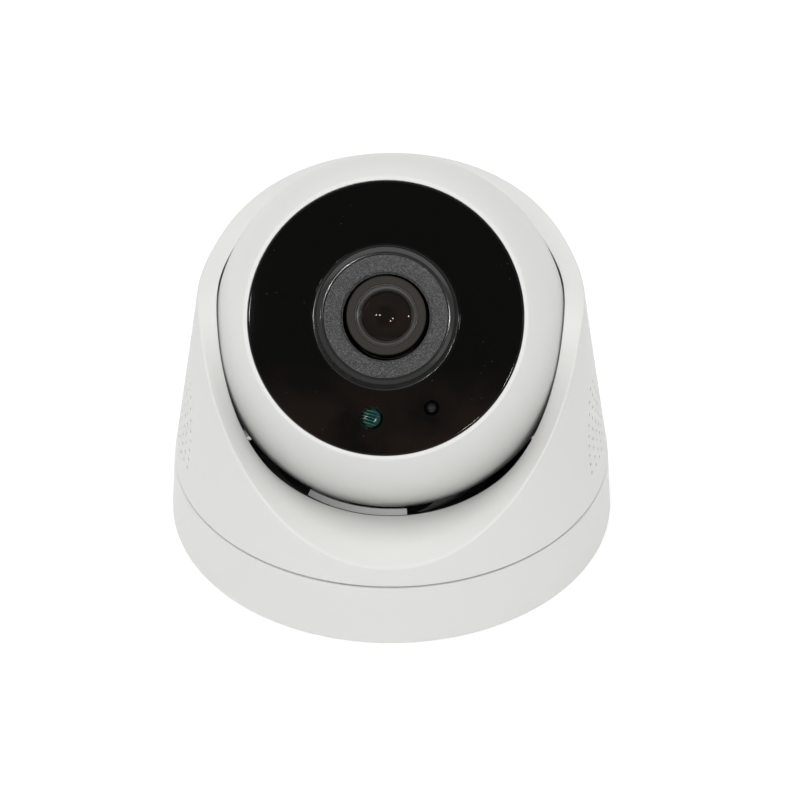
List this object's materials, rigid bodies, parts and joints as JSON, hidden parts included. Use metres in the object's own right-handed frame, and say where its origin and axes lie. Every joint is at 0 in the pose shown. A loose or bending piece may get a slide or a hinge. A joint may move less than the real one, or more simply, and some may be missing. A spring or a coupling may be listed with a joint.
{
  "type": "security camera",
  "caption": "Turret security camera: a white ball head with a black round window, held in a tapered round housing with a scooped front that lets it pan, tilt and roll.",
  "frame": {"origin": "centre of the mounting face at the bottom", "axes": "+Z away from the mounting face through the ball's centre, -Y towards the open side of the housing"},
  "size_m": [0.095, 0.095, 0.0798],
  "materials": {
    "housing": "satin white",
    "foam": "closed-cell foam",
    "rubber": "matt",
    "dark_plastic": "matt black",
    "window_gloss": "polished black",
    "grained_plastic": "fine grain",
    "lens_body": "satin dark",
    "lens_glass": "coated",
    "filter_glass": "coated",
    "chip": "polished",
    "board": "solder mask",
    "photocell": "clear-coated",
    "emitter": "smoked dome",
    "pad": "slippery plastic",
    "brass": "turned",
    "steel": "plated"
  },
  "bodies": {
    "base": {"mounting_base": "housing", "wall_gasket": "foam", "cable_grommet": "rubber", "cover_seal": "rubber", "lock_screw": "steel", "retainer_screw_1": "steel", "retainer_screw_2": "steel", "retainer_screw_3": "steel"},
    "pan_ring": {"pan_ring": "dark_plastic", "friction_pad_1": "pad", "friction_pad_2": "pad", "friction_pad_3": "pad"},
    "cover": {"cover": "housing", "hold_down_pad_1": "rubber", "hold_down_pad_2": "rubber", "hold_down_pad_3": "rubber"},
    "ball": {"rear_shell": "housing", "shell_ring": "dark_plastic", "rear_grommet": "rubber"},
    "head": {"front_shell": "housing", "window": "window_gloss", "window_seal": "rubber", "lens_collar": "window_gloss", "shroud_ring": "grained_plastic", "lens_barrel": "lens_body", "front_element": "lens_glass", "lens_retainer": "lens_body", "lens_lock_ring": "lens_body", "lens_holder": "dark_plastic", "ir_filter": "filter_glass", "image_sensor": "chip", "main_board": "board", "led_board": "board", "standoff_1": "brass", "standoff_2": "brass", "standoff_3": "brass", "board_screw_1": "steel", "board_screw_2": "steel", "board_screw_3": "steel", "ir_led_1": "emitter", "ir_led_2": "emitter", "ir_led_3": "emitter", "ir_led_4": "emitter", "ir_led_5": "emitter", "ir_led_6": "emitter", "photocell": "photocell", "status_led": "emitter"}
  },
  "joints": [
    {"name": "cover_twist", "type": "hinge", "parent": "base", "child": "cover", "pos_m": [0, 0, 0.0139], "axis": [0, 0, 1], "range_deg": [0, 16]},
    {"name": "pan", "type": "hinge", "parent": "base", "child": "pan_ring", "pos_m": [0, 0, 0.0434], "axis": [0, 0, 1], "range_deg": [-177.5, 177.5]},
    {"name": "tilt", "type": "hinge", "parent": "pan_ring", "child": "ball", "pos_m": [0, 0, 0.0434], "axis": [-0.9982, 0.0593, 0], "range_deg": [-26.3, 48.7]},
    {"name": "roll", "type": "hinge", "parent": "ball", "child": "head", "pos_m": [0, 0, 0.0434], "axis": [-0.0446, -0.7499, 0.66], "range_deg": [-177.5, 177.5]}
  ]
}
